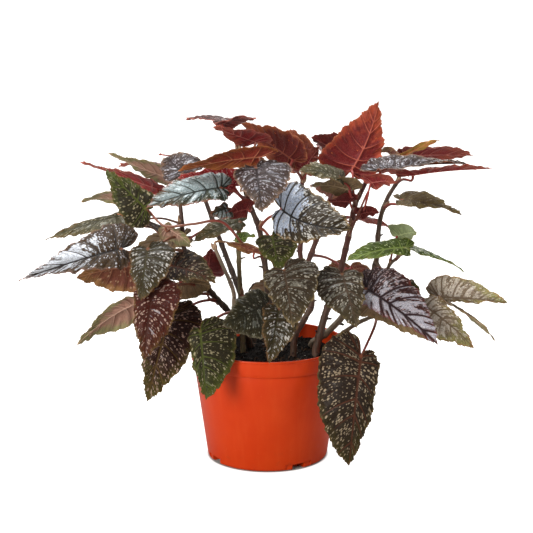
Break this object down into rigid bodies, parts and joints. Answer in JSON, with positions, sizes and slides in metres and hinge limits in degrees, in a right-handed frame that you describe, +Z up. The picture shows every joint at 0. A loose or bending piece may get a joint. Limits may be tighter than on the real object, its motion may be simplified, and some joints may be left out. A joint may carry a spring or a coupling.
{
  "type": "potted angel wing begonia",
  "caption": "Bushy cane begonia with lopsided, pointed, silver-speckled leaves that are red beneath, on jointed canes in a tapered nursery pot of potting mix.",
  "frame": {"origin": "centre of the pot's flat underside, on the surface that it stands on", "axes": "+Z up along the pot's axis, -Y towards the side that the picture shows, +X to that side's right"},
  "size_m": [0.4606, 0.3175, 0.3444],
  "materials": {
    "pot": "satin",
    "soil": "matte",
    "cane": "satin",
    "leaf_silver": "satin",
    "leaf_olive": "satin",
    "leaf_brown": "satin",
    "leaf_green": "satin",
    "leaf_green_grey": "satin",
    "leaf_red": "satin",
    "leaf_rust": "satin"
  },
  "bodies": {
    "root": {"pot": "pot", "soil": "soil", "cane_main": "cane", "cane_right": "cane", "cane_far_right": "cane", "cane_low_right": "cane", "cane_left": "cane", "cane_mid_left": "cane", "cane_pale": "cane", "cane_mid_right": "cane", "cane_back_left": "cane", "cane_back_right": "cane", "leaf_left_1": "leaf_silver", "leaf_left_2": "leaf_green_grey", "leaf_left_3": "leaf_green", "leaf_left_4": "leaf_red", "leaf_left_5": "leaf_red", "leaf_left_7": "leaf_silver", "leaf_left_8": "leaf_silver", "leaf_left_9": "leaf_olive", "leaf_left_10": "leaf_brown", "leaf_left_11": "leaf_brown", "leaf_left_12": "leaf_green", "leaf_left_13": "leaf_brown", "leaf_left_14": "leaf_red", "leaf_left_15": "leaf_olive", "leaf_crown_1": "leaf_rust", "leaf_crown_2": "leaf_red", "leaf_crown_3": "leaf_silver", "leaf_crown_4": "leaf_red", "leaf_crown_5": "leaf_red", "leaf_crown_6": "leaf_red", "leaf_crown_7": "leaf_rust", "leaf_crown_10": "leaf_red", "leaf_right_1": "leaf_silver", "leaf_right_2": "leaf_red", "leaf_right_3": "leaf_red", "leaf_right_6": "leaf_olive", "leaf_right_8": "leaf_green", "leaf_right_9": "leaf_green", "leaf_right_10": "leaf_green_grey", "leaf_right_12": "leaf_green_grey", "leaf_right_13": "leaf_silver", "leaf_right_14": "leaf_olive", "leaf_right_16": "leaf_olive", "leaf_right_17": "leaf_olive", "leaf_front_1": "leaf_silver", "leaf_front_2": "leaf_olive", "leaf_front_3": "leaf_olive", "leaf_front_4": "leaf_green_grey", "leaf_front_5": "leaf_olive", "leaf_back_1": "leaf_red", "leaf_back_2": "leaf_olive", "leaf_back_3": "leaf_olive", "leaf_back_4": "leaf_red", "leaf_back_5": "leaf_olive", "leaf_back_6": "leaf_brown", "leaf_back_7": "leaf_olive", "leaf_back_8": "leaf_silver"}
  },
  "joints": []
}
